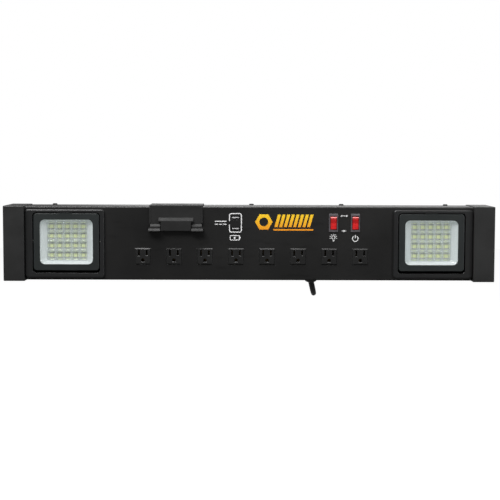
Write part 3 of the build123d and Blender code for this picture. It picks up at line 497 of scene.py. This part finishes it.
white_ink = Finish("white_screen_ink")
thin_spots = white_ink.spread(white_ink.noise(900, 4.0), 0, 1, 0.25, 0.6)
white_ink.shade(
    Base_Color=white_ink.mix(thin_spots, grey(0.62), grey(0.86)),
    Roughness=white_ink.spread(white_ink.noise(700), 0.35, 0.5),
)
white_ink.bump(white_ink.noise(1500), 0.00003, 0.4)
amber_ink = Finish("amber_screen_ink")
fade = amber_ink.spread(amber_ink.axis("Z"), 0, 1, 0.0215, 0.0485)
thin_amber = amber_ink.spread(amber_ink.noise(800, 4.0), 0.2, 0, 0.3, 0.6)
amber = amber_ink.mix(fade, (0.78, 0.27, 0.008, 1), (0.88, 0.58, 0.02, 1))
amber_ink.shade(
    Base_Color=amber_ink.mix(thin_amber, amber, (0.40, 0.16, 0.01, 1)),
    Roughness=amber_ink.spread(amber_ink.noise(700), 0.35, 0.5),
)
amber_ink.bump(amber_ink.noise(1500), 0.00003, 0.4)

port_x, port_z = -22.2, 33.9
turn_radius, half_gap = 3, 2.8
left_x, right_x, low_z, high_z = port_x - 6.7, port_x + 6.7, port_z - 12.1, port_z + 12.1
frame_line = [(left_x - turn_radius, port_z + half_gap)]
frame_turns = ((left_x, high_z, 180), (right_x, high_z, 90), (right_x, low_z, 0), (left_x, low_z, -90))
for x, z, first in frame_turns:
    frame_line += arc(x, z, turn_radius, first, first - 90, 5)
frame_line.append((left_x - turn_radius, port_z - half_gap))
screen_print("port_frame", white_ink, stroke(frame_line, 1.35))
dashes = [rounded_box(x, 31.6, 5.2, 1.3, 0.3) for x in (-53.4, -46.5, -39.6)]
screen_print("direct_current_sign", white_ink, rounded_box(-46.5, 36.4, 19.0, 1.4, 0.3), *dashes)
bolt = [(-22.3, 12.2), (-26.0, 8.9), (-23.8, 8.9), (-24.6, 6.6), (-20.8, 9.9), (-23.0, 9.9)]
screen_print(
    "battery_sign", white_ink, rounded_box(-23.3, 9.4, 16.0, 8.3, 1.5),
    rounded_box(-23.3, 9.4, 13.9, 6.2, 0.7), bolt, rounded_box(-14.5, 9.4, 1.3, 3.6, 0.5),
)
screen_print(
    "sideways_sign", white_ink, [(148.8, 45.5), (152.4, 43.9), (152.4, 47.1)],
    rounded_box(155.3, 45.5, 3.8, 1.1, 0.3), [(161.8, 45.5), (158.2, 47.1), (158.2, 43.9)],
)
spot_x, spot_z = 155.3, 21
rings = [arc(spot_x, spot_z, radius, 0, 345, 23) for radius in (1.6, 0.8)]
side_bars = [rounded_box(x, spot_z, 1.7, 0.9, 0.3) for x in (spot_x - 3, spot_x + 3)]
screen_print("spot_sign", white_ink, *rings, *side_bars)
bulb_x, bulb_z, sign_line = 138, 10.3, 0.9
bulb = [(bulb_x - 1.2, 6.9)] + arc(bulb_x, bulb_z, 2.7, 235, -55, 16) + [(bulb_x + 1.2, 6.9)]
light_rays = []
for degrees in range(-15, 196, 35):
    ray = Vector((cos(radians(degrees)), sin(radians(degrees))))
    middle = Vector((bulb_x, bulb_z))
    light_rays.append(stroke([tuple(middle + ray * 4.3), tuple(middle + ray * 6.1)], sign_line))
base_bars = [rounded_box(bulb_x, z, width, 0.8, 0.3) for z, width in ((5.7, 3.2), (4.3, 2.2))]
screen_print("lamp_sign", white_ink, stroke(bulb, sign_line), *light_rays, *base_bars)
power_x, power_line = 173.7, 1.2
open_ring = stroke(arc(power_x, 8.6, 4.6, 125, 415, 30), power_line)
screen_print("power_sign", white_ink, open_ring, rounded_box(power_x, 11.8, power_line, 5.2, 0.4))
nut_x, nut_z = 24.2, 35.4
bar_width, bar_spacing, bar_lean, bar_low_z, bar_high_z = 5.0, 7.6, 5.6, 27.0, 47.6
bars = []
for n in range(8):
    low_x = 41.5 + bar_spacing * n
    high_x = low_x + bar_lean
    bars.append([
        (low_x, bar_low_z), (low_x + bar_width, bar_low_z),
        (high_x + bar_width, bar_high_z), (high_x, bar_high_z),
    ])
nut, nut_hole = arc(nut_x, nut_z, 14.3, 0, 300, 5), arc(nut_x, nut_z, 7.2, 0, 350, 35)
underline = [(39.6, 21.4), (104.6, 21.4), (105.3, 23.8), (40.3, 23.8)]
screen_print("nut_and_bars", amber_ink, nut, nut_hole, *bars, underline)

# The lead's plug: two blades and an earth pin, moulded into a body of black PVC with five
# finger ribs, and with a ringed sleeve where the lead leaves it.
jacket = Finish("pvc_jacket", IOR=1.5)
scuffs = jacket.noise(45, 5.0)
jacket.shade(
    Base_Color=jacket.mix(jacket.spread(scuffs, 0, 1), grey(0.010), grey(0.019)),
    Roughness=jacket.spread(jacket.noise(900), 0.38, 0.52),
)
jacket.bump(jacket.noise(500, 3.0), 0.00012, 0.35)
jacket.coat("cord_gland")
plug_y, plug_z = 11.4 * mm, -20.0 * mm


def round_box(centre, size, radius, segments):
    bpy.ops.object.select_all(action="DESELECT")
    bpy.ops.mesh.primitive_cube_add(size=1, location=centre, scale=size)
    bpy.ops.object.transform_apply(location=True, rotation=True, scale=True)
    bpy.ops.object.mode_set(mode="EDIT")
    bpy.ops.mesh.select_all(action="SELECT")
    bpy.ops.mesh.bevel(offset=radius, segments=segments, affect="EDGES")
    bpy.ops.object.mode_set(mode="OBJECT")
    return bpy.context.object


def sleeve_ring(x, depth, radius):
    bpy.ops.object.select_all(action="DESELECT")
    bpy.ops.mesh.primitive_cylinder_add(
        vertices=40, radius=radius, depth=depth, location=(x, plug_y, plug_z), rotation=(0, pi / 2, 0)
    )
    bpy.ops.object.transform_apply(location=True, rotation=True, scale=True)
    bpy.ops.object.mode_set(mode="EDIT")
    bpy.ops.mesh.select_all(action="SELECT")
    bpy.ops.mesh.bevel(offset=depth * 0.28, segments=3, affect="EDGES", clamp_overlap=True)
    bpy.ops.object.mode_set(mode="OBJECT")
    return bpy.context.object


plug_size, plug_corner = (38.0 * mm, 21.6 * mm, 26.8 * mm), 4.5 * mm
rib_size, rib_corner = (2.6 * mm, 23.9 * mm, 19.0 * mm), 1.1 * mm
first_rib_x, rib_pitch = -155.5 * mm, 5.2 * mm
first_ring_x, ring_pitch, ring_depth = -148.9 * mm, 3.2 * mm, 2.2 * mm
plug_pieces = [round_box((-169.0 * mm, plug_y, plug_z), plug_size, plug_corner, 5)]
for n in range(5):
    rib_place = (first_rib_x - rib_pitch * n, plug_y, plug_z)
    plug_pieces.append(round_box(rib_place, rib_size, rib_corner, 3))
plug_pieces.append(sleeve_ring(-142.5 * mm, 16.5 * mm, 5.5 * mm))
for n, ring_radius in enumerate((9.2 * mm, 8.4 * mm, 7.7 * mm, 7.0 * mm, 6.4 * mm)):
    plug_pieces.append(sleeve_ring(first_ring_x + ring_pitch * n, ring_depth, ring_radius))
bpy.ops.object.select_all(action="DESELECT")
for piece in plug_pieces:
    piece.select_set(True)
moulded_plug = plug_pieces[0]
bpy.context.view_layer.objects.active = moulded_plug
bpy.ops.object.join()
bpy.ops.object.shade_smooth_by_angle(angle=radians(35))
moulded_plug.name = "moulded_plug"
moulded_plug.data.materials.clear()
moulded_plug.data.materials.append(jacket.material)
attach(moulded_plug, "housing")
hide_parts("plug_body")

# The strap: 18 mm hook and loop tape, threaded through two slots in the back cover and
# closed on itself round the waist of the hank.
strap_weave = Finish("hook_and_loop")
loops = strap_weave.noise(1400, 4.0)
threads = strap_weave.node(
    "ShaderNodeTexWave", {"wave_type": "BANDS", "bands_direction": "X"},
    {"Vector": strap_weave.place, "Scale": 260, "Distortion": 3.0, "Detail": 2.0}, 1,
)
pile = threads * 0.5 + loops * 0.5
strap_weave.shade(
    Base_Color=strap_weave.mix(strap_weave.spread(pile, 0, 1), grey(0.006), grey(0.035)),
    Roughness=strap_weave.spread(loops, 0.8, 0.95),
)
strap_weave.bump(pile, 0.0005, 0.9)
strap_x, strap_z = -10.0 * mm, 5.0 * mm
strap_width, strap_thickness = 18.0 * mm, 1.2 * mm
bpy.ops.object.select_all(action="DESELECT")
bpy.ops.mesh.primitive_cube_add(
    size=1, location=(strap_x, 16.1 * mm, strap_z), scale=(strap_width, 40.7 * mm, 21.7 * mm)
)
strap = bpy.context.object
bpy.ops.object.transform_apply(location=True, rotation=True, scale=True)
bpy.ops.object.mode_set(mode="EDIT")
bpy.ops.mesh.select_mode(type="FACE")
bpy.ops.mesh.select_all(action="DESELECT")
bpy.ops.object.mode_set(mode="OBJECT")
for face in strap.data.polygons:
    face.select = abs(face.normal.x) > 0.9
bpy.ops.object.mode_set(mode="EDIT")
bpy.ops.mesh.delete(type="FACE")
bpy.ops.mesh.select_mode(type="EDGE")
bpy.ops.mesh.select_all(action="DESELECT")
bpy.ops.object.mode_set(mode="OBJECT")
for side_edge in strap.data.edges:
    ends = [strap.data.vertices[n].co for n in side_edge.vertices]
    side_edge.select = abs(ends[0].x - ends[1].x) > 0.01
bpy.ops.object.mode_set(mode="EDIT")
bpy.ops.mesh.bevel(offset=3.0 * mm, segments=5, affect="EDGES")
bpy.ops.object.mode_set(mode="OBJECT")
tape = strap.modifiers.new("tape", "SOLIDIFY")
tape.thickness, tape.offset = strap_thickness, -1
bpy.ops.object.modifier_apply(modifier="tape")
free_end_size = (strap_width - 0.2 * mm, strap_thickness, 15.0 * mm)
free_end = round_box((strap_x, 37.0 * mm, strap_z), free_end_size, 0.5 * mm, 2)
bpy.ops.object.mode_set(mode="EDIT")
bpy.ops.mesh.subdivide(number_cuts=3)
bpy.ops.object.mode_set(mode="OBJECT")
curl_from, curl_length, curl_height = 8.0 * mm, 4.5 * mm, 1.2 * mm
for corner in free_end.data.vertices:
    lift = max(0.0, corner.co.z - curl_from) / curl_length
    corner.co.y += curl_height * lift * lift
bpy.ops.object.select_all(action="DESELECT")
free_end.select_set(True)
strap.select_set(True)
bpy.context.view_layer.objects.active = strap
bpy.ops.object.join()
bpy.ops.object.shade_smooth_by_angle(angle=radians(40))
strap.name = "cord_strap"
strap.data.materials.clear()
strap.data.materials.append(strap_weave.material)
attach(strap, "housing")
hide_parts("cord_tie")

# The power cord: 1.8 m of round 8.5 mm lead in a black PVC jacket. It leaves the bushing
# under the box, turns up behind it, and is folded into a hank of three turns against the
# back cover. Its plug lies beside the hank.
cord_radius = 4.25 * mm
cord_route = [
    (0.1023, -0.0405, -0.0585),
    (0.1072, -0.0280, -0.0790),
    (0.1102, -0.0025, -0.0910),
    (0.1095, 0.0250, -0.0880),
    (0.1058, 0.0460, -0.0695),
    (0.0992, 0.0520, -0.0450),
    (0.0860, 0.0470, -0.0228),
    (0.0660, 0.0388, -0.0132),
    (0.0420, 0.0322, -0.0100),
]
hank_x, hank_z = strap_x, strap_z
fold_offset, fold_radius = 70 * mm, 28 * mm
waist_x, waist_z = 9 * mm, 4.7 * mm
fold_reach, fold_points = 112.8, 7
fold_step = 2 * fold_reach / (fold_points - 1)
corner_radius = fold_radius / cos(radians(fold_step / 2))


def hank_turn():
    """One turn seen from the front: lower run, left fold, upper run, right fold."""
    turn = [(waist_x, -waist_z), (-waist_x, -waist_z)]
    for side in (-1, 1):
        for n in range(fold_points):
            angle = radians(fold_reach - n * fold_step)
            across, up = corner_radius * cos(angle), corner_radius * sin(angle)
            turn.append((side * (fold_offset + across), side * up))
        if side < 0:
            turn += [(-waist_x, waist_z), (waist_x, waist_z)]
    return turn


lower_runs_y = [30.5 * mm, 21.9 * mm, 13.3 * mm, 3.4 * mm]
for start_y, end_y in zip(lower_runs_y, lower_runs_y[1:]):
    turn = hank_turn()
    for n, (x, z) in enumerate(turn):
        share = n / len(turn)
        cord_route.append((hank_x + x, start_y + (end_y - start_y) * share, hank_z + z))
last_y = lower_runs_y[-1]
cord_route += [
    (hank_x + waist_x, last_y, hank_z - waist_z),
    (hank_x - waist_x, last_y, hank_z - waist_z),
    (-0.0680, 0.0035, -0.0140),
    (-0.1000, 0.0041, -0.0215),
    (-0.1260, 0.0102, -0.0206),
    (-0.1440, 0.0114, -0.0200),
]
line = bpy.data.curves.new("power_cord", "CURVE")
line.dimensions = "3D"
spline = line.splines.new("NURBS")
spline.points.add(len(cord_route) - 1)
for point, place in zip(spline.points, cord_route):
    point.co = (*place, 1)
spline.order_u = 3
spline.use_endpoint_u = True
spline.resolution_u = 5
line.bevel_depth = cord_radius
line.bevel_resolution = 6
line.use_fill_caps = True
line.materials.append(jacket.material)
power_cord = bpy.data.objects.new("power_cord", line)
scene.collection.objects.link(power_cord)
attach(power_cord, "housing")
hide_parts("cord", "cord_hank", "cord_tail")
